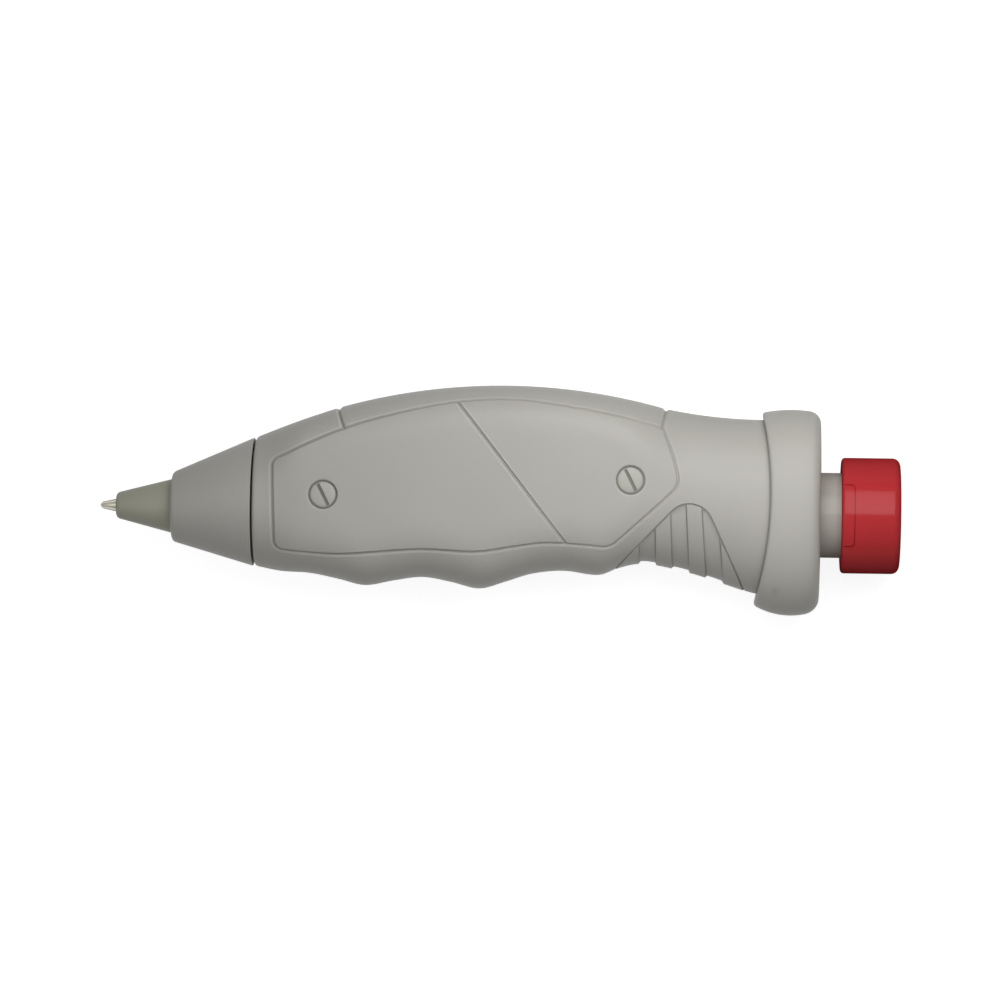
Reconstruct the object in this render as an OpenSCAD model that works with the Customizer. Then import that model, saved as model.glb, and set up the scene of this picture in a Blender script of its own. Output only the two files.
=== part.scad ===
// Push-button ballpoint pen with a moulded tool-handle grip, lying on its right side.
// X runs from the writing point to the button, Y up the grip to its spine, Z up to its left side.
// Sizes are in millimetres. The refill's axis is at Y 0, and the flat right side lies on Z 0.

/* [Handle] */
// Half the thickness of the grip between its flat sides
half_width = 13; // [10:0.5:16]
// Half thickness at the front end of the grip
front_half = 12; // [9:0.5:14]
// Half thickness at the waist in front of the end collar
waist_half = 11; // [9.5:0.25:12]
// X of the front face of the grip
handle_front = -46.5; // [-50:0.1:-44]
// X of the end of the two shells, inside the end collar
handle_rear = 56; // [54:0.5:57]
// Height of the front face's top above the axis
front_top = 13.3; // [11:0.1:15]
// Swell of the slope from the front face up to the spine
ramp_crown = 0.2; // [0:0.05:1]
// X of the spine's highest point
spine_x = 1.3; // [-10:0.1:10]
// Height of the spine's highest point above the axis
spine_top = 23.76; // [20:0.1:26]
// Radius of the spine's arch
spine_r = 113.8; // [90:0.5:160]
// X of the spine cover's front end
spine_front = -30.7; // [-36:0.1:-24]
// X of the spine cover's rear end
spine_rear = 31.2; // [24:0.1:36]
// How far the spine cover's front end leans back towards the panels
front_slant = 1.5; // [0:0.1:2]
// How far the spine cover's rear end leans forward towards the panels
rear_slant = 0.7; // [0:0.1:2]
// X of the waist's lowest point on the spine side
waist_x = 49.5; // [46:0.5:52]
// Height of the waist above the axis on the spine side
waist_top = 17.94; // [16:0.1:19]
// How far the spine edge's rounding reaches down the side
top_cap = 9; // [5:0.5:11]
// How far the finger edge's rounding reaches up the side
low_cap = 12; // [8:0.5:13]
// Squareness of the rounded edges, where 2 is an ellipse
squareness = 2.7; // [2:0.1:4]
// Rounding of the grip's front edge
front_round = 0.7; // [0.5:0.1:1.5]
// Thickness of a shell's wall
wall = 2.6; // [2.2:0.1:3]
// Thickness of the panels, the spine cover and the ribbed insert
skin = 1.6; // [1.2:0.1:1.8]
// Width of the seam around each panel
seam = 0.4; // [0.2:0.1:0.8]

/* [Panels and screws] */
// X of the panels' front edge
panel_front = -42.5; // [-44:0.1:-40]
// Radius of the panels' front corners
panel_corner = 1.8; // [0.5:0.1:2]
// Radius of the panels' lower rear corners
heel_corner = 3.5; // [1:0.1:4]
// X where the slanting seam between the panels crosses the axis
split_x = 8.05; // [0:0.05:14]
// Slope of the slanting seam in degrees
split_angle = -52; // [-70:1:-40]
// Radius of a screw's head
head_r = 2.35; // [1.8:0.05:2.6]
// Radius of the counterbore around a screw's head
bore_r = 2.78; // [2.4:0.02:3]
// Depth of the counterbore
head_deep = 1; // [0.8:0.05:1.1]
// Radius of a screw's shank
shank_r = 1.2; // [0.8:0.1:1.5]
// Width of a screw's slot
slot = 0.75; // [0.4:0.05:1]
// Slant of the screw slots in degrees
slot_angle = -62; // [-90:1:90]

/* [Ribbed insert] */
// X of the first rib edge's foot
rib_start = 26.6; // [25:0.05:28]
// Distance from one rib edge's foot to the next
rib_pitch = 3.12; // [2.5:0.01:3.5]
// Slant of the first rib edge in degrees
rib_slant = 0.7; // [0:0.1:6]
// Slant that each rib edge adds to the one before it
rib_fan = 0.9; // [0:0.1:1]
// Number of rib edges
rib_edges = 6; // [4:2:6]
// Depth of the bands between the ribs
rib_deep = 0.5; // [0.2:0.05:0.8]
// Radius of the insert's arch at its top
insert_round = 4.5; // [2:0.1:6]

/* [End collar] */
// X of the collar's widest place
collar_x = 55.2; // [53:0.1:57]
// X of the collar's rear face
collar_rear = 60.6; // [60:0.1:62]
// Height of the collar's top above the axis
collar_top = 19.92; // [19:0.02:22]
// Depth of the collar's underside below the axis
collar_low = 19.14; // [18:0.02:21]
// Crown radius of the collar's top and sides
collar_r = 27; // [18:1:40]
// Crown radius of the collar's underside
collar_low_r = 13.5; // [11:0.5:20]
// Rounding of the collar's rear edge
collar_round = 1.8; // [0.5:0.1:2]
// X of the collar's front edge at its rearmost place
collar_front = 51.05; // [50:0.05:51.5]
// Height above the axis of that place
collar_front_y = 3.5; // [0:0.5:6]
// Radius of the curve of the collar's front edge
collar_front_r = 75; // [75:1:300]

/* [Nose] */
// X of the nose cone's front face
nose_front = -62.4; // [-64:0.1:-61]
// X of the nose cone's rear face
nose_rear = -46.85; // [-48:0.05:-46.8]
// Half angle of the nose cone in degrees
nose_angle = 19.92; // [15:0.01:22]
// Tilt of the nose cone in degrees
nose_tilt = 3.8; // [0:0.1:6]
// Radius of the spigot that carries the nose
spigot_r = 7.15; // [6.5:0.05:7.3]
// X of the spigot's front end
spigot_front = -54; // [-54.5:0.1:-52]
// X of the nose tip's front face
tip_front = -73.1; // [-74:0.05:-71]
// Radius of the nose tip's front face
tip_front_r = 2.4; // [2:0.05:3]
// Radius of the nose tip's rear rim
tip_rear_r = 5.15; // [4.6:0.05:6]
// Rounding of the nose tip's front edge
tip_round = 0.9; // [0.3:0.1:1]
// Radius of the nose cone's front face inside its chamfer
nose_front_r = 5.7; // [5.3:0.1:6.2]
// Radius of the hole for the writing point
point_hole_r = 1.22; // [1.2:0.01:1.25]

/* [Refill] */
// X of the writing ball's front
point_front = -76.1; // [-77:0.1:-75]
// Radius of the writing ball
ball_r = 0.5; // [0.3:0.05:0.6]
// Radius of the point's shank
point_r = 1.15; // [1:0.01:1.2]
// Outer radius of the ink tube
tube_r = 1.6; // [1.4:0.05:1.65]
// Radius of the ink column
ink_r = 1.05; // [0.8:0.05:1.1]
// X of the ink tube's rear end
tube_rear = 30.9; // [28:0.1:31]
// Turns of the return spring
spring_turns = 8; // [5:1:10]
// Radius of the spring's coil, to the middle of its wire
coil_r = 2.15; // [2:0.05:2.3]
// Radius of the spring's wire
wire_r = 0.2; // [0.15:0.01:0.25]

/* [Push button] */
// Radius of the button
button_r = 10.97; // [9:0.01:14]
// X of the button's front face
button_front = 64.6; // [64:0.1:66]
// X of the button's rear face
button_rear = 75.75; // [74.8:0.05:80]
// Rounding of the button's front rim
button_front_round = 0.7; // [0.2:0.1:1]
// Rounding of the button's rear rim
button_rear_round = 1.8; // [0.5:0.1:2.5]
// Outer radius of the button's stem
stem_r = 8.05; // [7:0.05:8.5]

/* [Click mechanism] */
// Outer radius of the cam sleeve
sleeve_r = 7; // [6:0.1:7.2]
// Radius of the grooves inside the cam sleeve
groove_r = 4.85; // [4.5:0.05:5.2]
// Inner radius of the ribs between the grooves
rib_r = 3.75; // [3.7:0.05:4]
// X of the front ends of the ribs, where the cam catches
rib_front = 35; // [34.9:0.1:36]
// Radius of the cam and of the plunger between their splines
core_r = 3.65; // [3.2:0.05:3.65]
// Height of the crown teeth on the cam and on the plunger
tooth = 1.2; // [0.6:0.1:1.5]

/* [Hidden] */
$fn = 64;
grey = [0.68, 0.67, 0.64];
dark_grey = [0.45, 0.45, 0.42];
// underside of the grip: its front slope, three finger swells with hollows between, and the waist
underside = [[-46.6, -11.1], [-41.5, -12.05], [-36, -12.35], [-30.3, -13.45], [-25.4, -14.52], [-20, -13.55],
    [-14.5, -12.82], [-9, -13.7], [-3.7, -14.85], [1, -13.55], [6.2, -11.9], [12.2, -11.25], [18.9, -11.95],
    [22.2, -10.75], [25.5, -9.85], [28.5, -9.75], [37, -11.55], [47, -14.65], [56, -16.6]];
// upper edge of the side panels, from the front corner over the arch to the rear corner
panel_upper = [[-42.5, 9.15], [-30, 14.85], [-18.75, 18.25], [-7.7, 20.45], [1.85, 21.05], [9.4, 20.35],
    [20.5, 18.5], [30.7, 16.05]];
// lower edge of the side panels, which follows the finger swells
panel_lower = [[-42.5, -7.75], [-36.85, -8.35], [-29.7, -8.65], [-14.7, -7.55], [-4.25, -7.85], [2.4, -6.9],
    [8.4, -6.05], [15.35, -6.25], [21.05, -6.75]];
// rear corners of the side panels, from the upper one round to the lower one
panel_heel = [[30.7, 16.05], [32.8, 10.65], [34.1, 5.2]];
// middles of the two screws on one side
screws = [[-33, 2.6], [24.8, 6.1]];
// corners of the ribbed insert's arch in side view, before rounding, the lower two below the grip
insert_corners = [[37.2, 5.1], [51.4, -25], [8.4, -25]];
// middles of the pins that line the two shells up
pins = [[-24, 10], [8, 14.5], [-4, -8.6]];
// X of the cross walls that steady the ink tube, and of those that hold the cam sleeve
tube_walls = [-39, -12, 13];
sleeve_walls = [25, 41];
waist_rise = spine_top - arc_drop(spine_r, spine_rear - spine_x) - waist_top;
waist_r = (pow(waist_x - spine_rear, 2) + waist_rise * waist_rise) / (2 * waist_rise);
axis_up = half_width;
// radius of the dome on a screw's head
dome_r = 11;

// Drop of an arc of radius r at a distance d from its highest point.
function arc_drop(r, d) = r - sqrt(r * r - d * d);

// Eases from 0 to 1 as t goes from 0 to 1.
function ease(t) = let (c = min(1, max(0, t))) c * c * (3 - 2 * c);

function mix(a, b, t) = a + (b - a) * t;

// Slope of a smooth curve at its point i.
function slope(p, i) =
    let (a = p[max(0, i - 1)], b = p[min(len(p) - 1, i + 1)]) (b[1] - a[1]) / (b[0] - a[0]);

function span_at(p, x, i = 0) = i == len(p) - 2 || x <= p[i + 1][0] ? i : span_at(p, x, i + 1);

// Height at x of a smooth curve through the points p.
function curve(p, x) =
    let (i = span_at(p, x), run = p[i + 1][0] - p[i][0], t = (x - p[i][0]) / run, rest = 1 - t)
    rest * rest * (1 + 2 * t) * p[i][1] + t * t * (3 - 2 * t) * p[i + 1][1]
        + run * t * rest * (rest * slope(p, i) - t * slope(p, i + 1));

function ramp_y(x) =
    let (t = (x - handle_front) / (spine_front - handle_front))
    mix(front_top, spine_top - arc_drop(spine_r, spine_front - spine_x), t) + 4 * ramp_crown * t * (1 - t);

// Height of the grip's spine side at x.
function top_y(x) =
    x < spine_front ? ramp_y(x)
    : x < spine_rear ? spine_top - arc_drop(spine_r, x - spine_x)
    : waist_top + arc_drop(waist_r, min(0, x - waist_x));

// How flat the sides are at x: 0 for an oval section at both ends, 1 for the flat-sided grip.
function flatness(x) = ease((x - handle_front) / 10) * (1 - ease((x - 20) / 16));

function side_z(x) =
    half_width - (half_width - front_half) * (1 - ease((x - handle_front) / 10))
        - (half_width - waist_half) * ease((x - 22) / 16);

// Slope of the flat side at x.
function side_slope(x) = (side_z(x + 0.1) - side_z(x - 0.1)) / 0.2;

// Points of a rounded cap: from its crown at height y to its foot, reach below it, z being half as wide there.
function cap(x, y, reach, z, n, steps) =
    [for (i = [0:steps]) let (a = 90 * i / steps)
        [x, y - reach * (1 - pow(cos(a), 2 / n)), z * pow(sin(a), 2 / n)]];

// One side of a section: an upper cap, a flat and a lower cap turned over.
function half_section(x, top, low, up, down, z, n, steps) =
    concat(cap(x, top, up, z, n, steps), [for (i = [0:steps]) cap(x, low, -down, z, n, steps)[steps - i]]);

// The grip's section at x, taken in by inset.
function grip_half(x, inset) =
    let (
        f = flatness(x),
        top = top_y(x) - inset,
        low = curve(underside, x) + inset,
        half_tall = (top - low) / 2 - 0.4
    )
    half_section(x, top, low, mix(half_tall, top_cap, f), mix(half_tall, low_cap, f), side_z(x) - inset,
        mix(2.1, squareness, f), 7);

// Adds the mirrored other side to a half section.
function whole(half) =
    concat(half, [for (i = [len(half) - 2:-1:1]) [half[i][0], half[i][1], -half[i][2]]]);

function stations(from, to, step) =
    let (n = ceil((to - from) / step)) [for (i = [0:n]) mix(from, to, i / n)];

// The corner b of an outline that runs from a to c, as an arc of radius r.
function corner_arc(a, b, c, r) =
    let (
        u = (a - b) / norm(a - b),
        v = (c - b) / norm(c - b),
        half = acos(u * v) / 2,
        middle = b + (u + v) / norm(u + v) * r / sin(half),
        from = b + u * r / tan(half) - middle,
        to = b + v * r / tan(half) - middle,
        first = atan2(from[1], from[0]),
        sweep = (atan2(to[1], to[0]) - first + 540) % 360 - 180
    )
    [for (i = [0:6]) middle + r * [cos(first + sweep * i / 6), sin(first + sweep * i / 6)]];

// An outline with its corners rounded by the radius listed for each point, where 0 keeps the point.
function rounded(points, radii) =
    let (n = len(points))
    [for (i = [0:n - 1])
        each radii[i] == 0 ? [points[i]]
            : corner_arc(points[(i + n - 1) % n], points[i], points[(i + 1) % n], radii[i])];

// X of a point on the rib edge i at height y.
function rib_x(i, y) = rib_start + i * rib_pitch - tan(rib_slant + i * rib_fan) * (y + 10);

// The end collar's section at x.
function collar_half(x) =
    let (
        edge = max(0, x - (collar_rear - collar_round)),
        turn = arc_drop(collar_round, min(0.999 * collar_round, edge)),
        top = collar_top - arc_drop(collar_r, x - collar_x) - turn,
        low = -collar_low + arc_drop(collar_low_r, x - collar_x) + turn,
        half_tall = (top - low) / 2 - 0.4
    )
    half_section(x, top, low, half_tall, half_tall, half_width - arc_drop(collar_r, x - collar_x) - turn, 2.3, 9);

// The line of the return spring's wire, from its front end to its rear end.
spring_from = -69.6;
spring_to = -58.75;
spring_steps = 8 * spring_turns;
function coil(i) =
    let (a = 360 * i / 8)
    [mix(spring_from, spring_to, i / spring_steps), coil_r * cos(a), coil_r * sin(a)];
coil_gaps = [for (i = [0:spring_steps]) for (j = [i + 5:1:spring_steps]) norm(coil(i) - coil(j)) - 2 * wire_r];

module lift() {
    translate([0, 0, axis_up]) children();
}

// Turns a shape that stands on Z so that it lies along X, starting at x.
module along(x) {
    translate([x, 0, 0]) rotate([0, 90, 0]) children();
}

module rod(from, to, r) {
    along(from) cylinder(h = to - from, r = r);
}

module taper(from, to, r_from, r_to) {
    along(from) cylinder(h = to - from, r1 = r_from, r2 = r_to);
}

// Joins sections along X into one closed solid. On whole sections the right side's facets mirror the left side's.
module loft(sections, both_sides = false) {
    m = len(sections[0]);
    n = len(sections);
    left = both_sides ? m / 2 : m;
    sides = [for (i = [0:n - 2]) for (j = [0:m - 1])
        let (a = i * m + j, b = i * m + (j + 1) % m)
        each j < left ? [[a, a + m, b + m], [a, b + m, b]] : [[a, a + m, b], [b, a + m, b + m]]];
    ends = [[for (j = [0:m - 1]) j], [for (j = [m - 1:-1:0]) (n - 1) * m + j]];
    polyhedron([for (s = sections) each s], concat(sides, ends));
}

module grip_side() {
    edge = [for (share = [0, 0.12, 0.4, 0.7]) share * front_round];
    loft(concat(
        [for (d = edge) grip_half(handle_front + d, arc_drop(front_round, front_round - d))],
        [for (x = stations(handle_front + front_round, handle_rear, 2)) grip_half(x, 0)]
    ));
}

module grip(inset, step, from, to) {
    loft([for (x = stations(from, to, step)) whole(grip_half(x, inset))], true);
}

// The surface that panels, spine cover and ribbed insert are seated on.
module seat() {
    grip(skin, 4, handle_front, handle_rear);
}

module hollow() {
    grip(wall, 4, handle_front + 2.4, handle_rear + 1);
}

module panel_area() {
    upper = [for (x = stations(panel_front, panel_heel[0][0], 2.4)) [x, curve(panel_upper, x)]];
    lower = [for (x = stations(panel_lower[8][0], panel_front, -2.4)) [x, curve(panel_lower, x)]];
    radii = concat(
        [for (i = [0:len(upper) - 1]) i == 0 ? panel_corner : 0],
        [0, heel_corner],
        [for (i = [0:len(lower) - 1]) i == 0 ? heel_corner : i == len(lower) - 1 ? panel_corner : 0]
    );
    polygon(rounded(concat(upper, [panel_heel[1], panel_heel[2]], lower), radii));
}

// The half plane in front of the slanting seam, moved forward by the given distance.
module before_split(back) {
    translate([split_x, 0]) rotate(split_angle) translate([-60, -120 - back]) square(120);
}

// Side view of the spine cover, which runs past the spine with the slants of its ends carried on.
module spine_area() {
    steps = stations(spine_front + front_slant, spine_rear - rear_slant, 3);
    under = [for (x = steps) [x, curve(panel_upper, x)]];
    polygon(concat([[spine_rear + 1.6 * rear_slant, 26], [spine_front - 1.6 * front_slant, 26]], under));
}

// Side view of the ribbed insert: a rounded arch that runs off the underside.
module insert_area() {
    offset(r = insert_round) offset(delta = -insert_round) polygon(insert_corners);
}

// Side view of the sunken bands between the ribs.
module rib_bands() {
    for (i = [0:2:rib_edges - 2])
        polygon([[rib_x(i, -25), -25], [rib_x(i + 1, -25), -25], [rib_x(i + 1, 10), 10], [rib_x(i, 10), 10]]);
}

module through(from = -30, to = 30) {
    translate([0, 0, from]) linear_extrude(to - from) children();
}

// What is cut away outside the seat for the panels, the spine cover and the ribbed insert.
module recess() {
    difference() {
        union() {
            through(2) offset(delta = seam / 2) panel_area();
            through() offset(delta = seam / 2) spine_area();
            through() offset(delta = seam / 2) insert_area();
        }
        seat();
    }
}

// Stands what is given on the panel's face at each screw, square to the face.
module at_screws() {
    for (p = screws) translate([p[0], p[1], side_z(p[0])]) rotate([0, -atan(side_slope(p[0])), 0]) children();
}

// Posts that stand in the hollow: a boss under each screw and one for each pin.
module posts() {
    at_screws() translate([0, 0, -4.8]) cylinder(h = 4, r = 2.6);
    for (p = pins) translate([p[0], p[1], 0]) cylinder(h = 12, r = 2.4);
}

module cross_walls() {
    for (x = tube_walls) translate([x, -30, -30]) cube([1.6, 60, 60]);
    for (x = sleeve_walls) translate([x, -30, -30]) cube([2, 60, 60]);
}

// One shell, on the upper side of the middle plane.
module shell() {
    difference() {
        union() {
            grip_side();
            intersection() {
                rod(spigot_front, handle_front + 1.5, spigot_r);
                translate([-80, -20, 0]) cube([60, 40, 20]);
            }
        }
        difference() {
            hollow();
            posts();
            cross_walls();
        }
        recess();
        rod(spigot_front - 1, handle_front + 3, spigot_r - 1.55);
        rod(tube_walls[0] - 1, tube_walls[2] + 3, tube_r + 0.6);
        rod(sleeve_walls[0] - 1, sleeve_walls[1] + 3, sleeve_r);
        rod(47.2, handle_rear + 1, 9.8);
        at_screws() translate([0, 0, -4.3]) cylinder(h = 6, r = shank_r);
    }
}

module panel() {
    difference() {
        intersection() {
            grip_side();
            through(2) children();
        }
        seat();
        at_screws() {
            translate([0, 0, -head_deep]) cylinder(h = 3, r = bore_r);
            translate([0, 0, -8]) cylinder(h = 10, r = shank_r);
        }
    }
}

module front_panel() {
    panel() intersection() {
        offset(delta = -seam / 2) panel_area();
        before_split(seam / 2);
    }
}

module rear_panel() {
    panel() difference() {
        offset(delta = -seam / 2) panel_area();
        before_split(-seam / 2);
    }
}

// Slotted screws with slightly domed heads.
module panel_screws() {
    at_screws() rotate(slot_angle) difference() {
        union() {
            translate([0, 0, -4.3]) cylinder(h = 4.4 - head_deep, r = shank_r);
            intersection() {
                translate([0, 0, -head_deep]) cylinder(h = 2, r = head_r);
                translate([0, 0, -0.05 - dome_r]) sphere(r = dome_r);
            }
        }
        translate([-4, -slot / 2, 0.35 - head_deep]) cube([8, slot, 3]);
    }
}

module writing_ball() {
    color([0.8, 0.8, 0.82]) lift() translate([point_front + ball_r, 0, 0]) sphere(r = ball_r);
}

// Metal point: a seat for the ball, a cone, a shank and a stem pressed into the ink tube.
module refill_tip() {
    ball_x = point_front + ball_r;
    color([0.72, 0.7, 0.66]) lift() difference() {
        union() {
            taper(ball_x - 0.15, -73.85, 0.56, 1.02);
            taper(-73.85, -73.4, 1.02, point_r);
            rod(-73.4, -66, point_r);
            rod(-66, -62, ink_r);
        }
        translate([ball_x, 0, 0]) sphere(r = ball_r + 0.015);
        rod(ball_x, -61, 0.3);
    }
}

// Plastic ink tube with a collar for the return spring.
module ink_tube() {
    color([0.85, 0.87, 0.9]) lift() difference() {
        union() {
            rod(-66, tube_rear, tube_r);
            rod(-58.5, -57.7, 2.5);
        }
        rod(-67, tube_rear + 1, ink_r);
    }
}

module ink_column() {
    color([0.06, 0.08, 0.25]) lift() rod(-62, 16, ink_r);
}

module return_spring() {
    echo(least_gap_between_spring_turns = min(coil_gaps));
    rings = [for (i = [0:spring_steps])
        let (a = 360 * i / 8, out = [0, cos(a), sin(a)])
        [for (k = [0:5]) coil(i) + wire_r * (cos(60 * k) * out + sin(60 * k) * [1, 0, 0])]];
    color([0.75, 0.75, 0.78]) lift() loft(rings);
}

// Front cone around the writing point, with a spring chamber and a spigot into the nose cone.
module nose_tip() {
    tall = nose_front - tip_front;
    flare = atan((tip_rear_r - tip_front_r) / tall);
    round_r = tip_front_r + tip_round * (tan(flare) - 1 / cos(flare));
    color(dark_grey) lift() difference() {
        union() {
            along(tip_front) rotate_extrude() union() {
                translate([round_r, tip_round]) circle(r = tip_round);
                polygon([[0, 0], [round_r, 0], [round_r, tip_round],
                    [round_r + tip_round * cos(flare), tip_round * (1 - sin(flare))], [tip_rear_r, tall], [0, tall]]);
            }
            rod(nose_front, -57.4, 4.2);
        }
        rod(tip_front - 1, -60, point_hole_r);
        rod(-69.9, -57, 2.75);
    }
}

// Leaning cone that slides over the spigot of the shells.
module nose_cone() {
    apex = [-80.37, -1.48, 0];
    color(dark_grey) lift() difference() {
        intersection() {
            translate(apex) rotate([0, 0, nose_tilt]) along(0) cylinder(h = 60, r1 = 0, r2 = 60 * tan(nose_angle));
            taper(nose_front, nose_rear, nose_front_r, nose_front_r + nose_rear - nose_front);
        }
        rod(nose_front - 1, nose_rear, 4.2);
        rod(spigot_front - 1, nose_rear + 1, spigot_r + 0.05);
    }
}

// Left shell, with sockets for the other shell's pins.
module left_shell() {
    color(grey) lift() difference() {
        shell();
        for (p = pins) translate([p[0], p[1], -1]) cylinder(h = 4.2, r = 1.25);
    }
}

// Right shell, with the pins that line the two shells up.
module right_shell() {
    color(grey) lift() union() {
        mirror([0, 0, 1]) shell();
        for (p = pins) translate([p[0], p[1], -2]) cylinder(h = 5, r = 1.2);
    }
}

// Saddle over the joint of the two shells.
module spine_cover() {
    color(grey) lift() difference() {
        intersection() {
            grip(0, 2, spine_front - 2, spine_rear + 2);
            through() offset(delta = -seam / 2) spine_area();
        }
        seat();
    }
}

module left_front_panel() {
    color(grey) lift() front_panel();
}

module left_rear_panel() {
    color(grey) lift() rear_panel();
}

module right_front_panel() {
    color(grey) lift() mirror([0, 0, 1]) front_panel();
}

module right_rear_panel() {
    color(grey) lift() mirror([0, 0, 1]) rear_panel();
}

module left_panel_screws() {
    color(grey) lift() panel_screws();
}

module right_panel_screws() {
    color(grey) lift() mirror([0, 0, 1]) panel_screws();
}

// Ribbed saddle under the rear of the grip.
module ribbed_insert() {
    color(grey) lift() difference() {
        intersection() {
            grip(0.05, 2, 14, 52);
            through() offset(delta = -seam / 2) insert_area();
        }
        seat();
        difference() {
            through() rib_bands();
            grip(rib_deep, 2, 14, 52);
        }
    }
}

// Crowned oval collar that closes the rear of the two shells and guides the button's stem.
module end_collar() {
    last = collar_rear - collar_round;
    places = concat(stations(46.8, last, 1.6), [for (share = [0.35, 0.6, 0.8, 0.93, 1]) last + share * collar_round]);
    color(grey) lift() difference() {
        loft([for (x = places) whole(collar_half(x))], true);
        grip(0, 2, handle_front, handle_rear);
        translate([collar_front - collar_front_r, collar_front_y, -30]) cylinder(h = 60, r = collar_front_r);
        rod(50, collar_rear + 1, stem_r + 0.07);
    }
}

// Slices of a ring between its axis and r, one at each quarter turn.
module quarters(r, half_angle) {
    reach = 2 * r;
    for (i = [0:3]) rotate(90 * i) intersection() {
        circle(r = r);
        polygon([[0, 0], [reach * cos(half_angle), reach * sin(half_angle)],
            [reach * cos(half_angle), -reach * sin(half_angle)]]);
    }
}

// Fixed sleeve with four grooves, which the cam slides in and catches in front of.
module cam_sleeve() {
    color([0.9, 0.9, 0.88]) lift() difference() {
        union() {
            rod(24, 46, sleeve_r);
            rod(sleeve_walls[1] + 2, sleeve_walls[1] + 3.2, sleeve_r + 0.9);
        }
        rod(23, rib_front, groove_r);
        rod(rib_front + 10, 47, groove_r);
        rod(rib_front - 1, 46, rib_r);
        along(rib_front - 0.5) linear_extrude(11) quarters(groove_r, 20);
    }
}

// Cuts that leave eight saw teeth on the end of a rod, pointing along Z from the height 0.
module tooth_gaps() {
    for (i = [0:7]) rotate(45 * i) rotate([90, 0, 90]) linear_extrude(6)
        polygon([[-1.2, tooth + 0.01], [1.2, tooth + 0.01], [1.2, 0]]);
}

// Cam that turns an eighth at each click, with a socket for the ink tube's end.
module rotary_cam() {
    color([0.9, 0.9, 0.88]) lift() difference() {
        union() {
            rod(27, 37 + tooth, core_r);
            along(31.5) linear_extrude(rib_front - 31.6) quarters(groove_r - 0.1, 18);
        }
        rod(26, tube_rear, tube_r + 0.08);
        rod(35, 40, 2.2);
        along(37) tooth_gaps();
    }
}

// Plunger whose crown teeth press on the cam, kept from turning by its four splines.
module thrust_plunger() {
    front = 37 + tooth + 0.1;
    color([0.9, 0.9, 0.88]) lift() difference() {
        union() {
            rod(front, 49.3, core_r);
            along(front + tooth) linear_extrude(5) quarters(groove_r - 0.1, 18);
            rod(49.3, 55, 3);
        }
        rod(front - 1, front + 3, 2.2);
        translate([front + tooth, 0, 0]) rotate([0, -90, 0]) tooth_gaps();
    }
}

// Hollow stem with a flange that stops it at the collar.
module button_stem() {
    color([0.6, 0.59, 0.56]) lift() difference() {
        union() {
            rod(49.3, 51.3, 9.6);
            rod(51, 70.2, stem_r);
        }
        rod(51.3, 71, 6.4);
        rod(49, 52, 3);
    }
}

// Round button with rounded rims, hollow behind the stem.
module push_button() {
    tall = button_rear - button_front;
    front = button_front_round;
    rear = button_rear_round;
    color([0.66, 0.13, 0.14]) lift() difference() {
        along(button_front) rotate_extrude() union() {
            square([button_r - rear, tall]);
            translate([0, front]) square([button_r, tall - front - rear]);
            square([button_r - front, front + 1]);
            translate([button_r - front, front]) circle(r = front);
            translate([button_r - rear, tall - rear]) circle(r = rear);
        }
        rod(button_front - 1, 70.2, stem_r);
        rod(70, 73.8, 6.4);
    }
}

writing_ball();
refill_tip();
ink_tube();
ink_column();
return_spring();
nose_tip();
nose_cone();
left_shell();
right_shell();
spine_cover();
left_front_panel();
left_rear_panel();
right_front_panel();
right_rear_panel();
left_panel_screws();
right_panel_screws();
ribbed_insert();
end_collar();
cam_sleeve();
rotary_cam();
thrust_plunger();
button_stem();
push_button();
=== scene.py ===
import math

import bmesh
import bpy
import numpy as np
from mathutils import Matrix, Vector
from mathutils.geometry import delaunay_2d_cdt


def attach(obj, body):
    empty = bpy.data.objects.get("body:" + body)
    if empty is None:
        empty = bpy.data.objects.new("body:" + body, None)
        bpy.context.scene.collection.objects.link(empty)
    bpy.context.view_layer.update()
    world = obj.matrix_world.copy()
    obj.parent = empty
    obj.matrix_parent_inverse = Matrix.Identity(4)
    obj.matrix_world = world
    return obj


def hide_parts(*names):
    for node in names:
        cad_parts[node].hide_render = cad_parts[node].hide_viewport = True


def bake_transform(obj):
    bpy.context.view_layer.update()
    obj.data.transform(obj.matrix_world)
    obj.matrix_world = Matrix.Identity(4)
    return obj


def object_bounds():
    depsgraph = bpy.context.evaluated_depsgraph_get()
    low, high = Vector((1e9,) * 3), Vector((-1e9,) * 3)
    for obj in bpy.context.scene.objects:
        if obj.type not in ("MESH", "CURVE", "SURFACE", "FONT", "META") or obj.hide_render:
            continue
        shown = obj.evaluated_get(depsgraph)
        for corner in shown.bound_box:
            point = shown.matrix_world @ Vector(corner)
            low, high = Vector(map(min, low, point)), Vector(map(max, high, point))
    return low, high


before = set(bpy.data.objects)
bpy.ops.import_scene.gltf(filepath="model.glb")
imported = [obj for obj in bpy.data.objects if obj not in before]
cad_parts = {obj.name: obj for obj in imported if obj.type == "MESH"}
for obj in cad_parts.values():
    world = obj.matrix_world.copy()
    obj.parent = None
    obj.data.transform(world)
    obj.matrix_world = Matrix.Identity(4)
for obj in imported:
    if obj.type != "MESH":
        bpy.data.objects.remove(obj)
cad_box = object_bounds()

# Refill point
# A turned nickel-silver point with a polished ball rolled into its end. Its rear stem is pressed into the
# ink tube, and all but its last three millimetres sits inside the nose.
MM = 0.001
axis_z = (cad_box[0].z + cad_box[1].z) / 2
point_mouth, point_shoulder, point_step, point_rear = -75.4, -73.4, -66, -62
point_r, point_stem_r, point_bore_r = 1.15, 1.05, 0.3


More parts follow.
